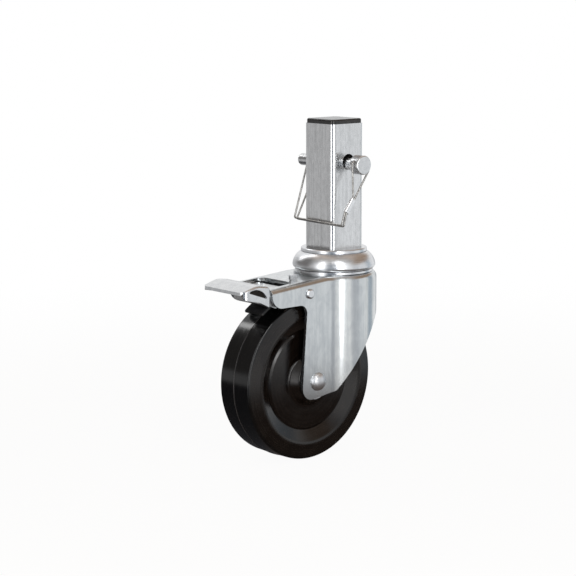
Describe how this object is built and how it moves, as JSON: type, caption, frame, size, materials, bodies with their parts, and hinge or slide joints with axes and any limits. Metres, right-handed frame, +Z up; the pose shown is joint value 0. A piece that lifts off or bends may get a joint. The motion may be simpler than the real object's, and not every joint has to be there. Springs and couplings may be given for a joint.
{
  "type": "scaffold castor",
  "caption": "Swivel castor for a scaffold tower: a square stem with a locking pin on a wire bail, a ball bearing swivel, a pressed steel fork with a foot brake, and a hard rubber wheel.",
  "frame": {"origin": "on the swivel axis, at the top face of the collar under the stem", "axes": "+Z up the stem along the swivel axis, the axle along Y, and the fork trailing to -X with the brake pedal at its front"},
  "size_m": [0.148, 0.074, 0.2653],
  "materials": {
    "zinc_steel": "bright zinc plate",
    "bearing_steel": "polished",
    "rubber": "semi-gloss hard rubber",
    "black_plastic": "satin",
    "black_steel": "blackened spring steel"
  },
  "bodies": {
    "stem": {"stem_tube": "zinc_steel", "stem_end_cap": "black_plastic", "collar_plate": "zinc_steel", "bearing_dome": "zinc_steel", "king_pin": "zinc_steel", "lower_race_cup": "zinc_steel", "king_washer": "zinc_steel", "king_nut": "zinc_steel"},
    "fork": {"fork": "zinc_steel", "crown_race_ring": "zinc_steel", "upper_bearing_balls": "bearing_steel", "lower_bearing_balls": "bearing_steel", "axle_bolt": "zinc_steel", "axle_nut": "zinc_steel", "axle_sleeve": "zinc_steel", "thrust_washers": "zinc_steel", "brake_pivot_rivet": "zinc_steel", "spring_plate_clip": "zinc_steel"},
    "wheel": {"wheel": "rubber", "hub_bush": "zinc_steel", "bearing_rollers": "bearing_steel", "roller_cage": "black_plastic"},
    "pedal": {"brake_pedal": "zinc_steel"},
    "spring_plate": {"brake_spring_plate": "black_steel"},
    "locking_pin": {"locking_pin": "zinc_steel", "pin_bail": "zinc_steel", "bail_crimp": "zinc_steel"}
  },
  "joints": [
    {"name": "swivel", "type": "hinge", "parent": "stem", "child": "fork", "pos_m": [0, 0, 0], "axis": [0, 0, 1], "continuous": true},
    {"name": "wheel_spin", "type": "hinge", "parent": "fork", "child": "wheel", "pos_m": [-0.0401, 0, -0.0999], "axis": [0, 1, 0], "continuous": true},
    {"name": "pedal_swing", "type": "hinge", "parent": "fork", "child": "pedal", "pos_m": [-0.0485, 0, -0.0296], "axis": [0, -1, 0], "range_deg": [0, 10]},
    {"name": "spring_plate_flex", "type": "hinge", "parent": "fork", "child": "spring_plate", "pos_m": [-0.051, 0, -0.02415], "axis": [0, -1, 0], "range_deg": [0, 8.5]},
    {"name": "pin_slide", "type": "slide", "parent": "stem", "child": "locking_pin", "axis": [0, 1, 0], "range_m": [-0.006, 0.0085]}
  ],
  "couplings": [
    {"joint": "spring_plate_flex", "follows": "pedal_swing", "ratio": 0.85}
  ]
}
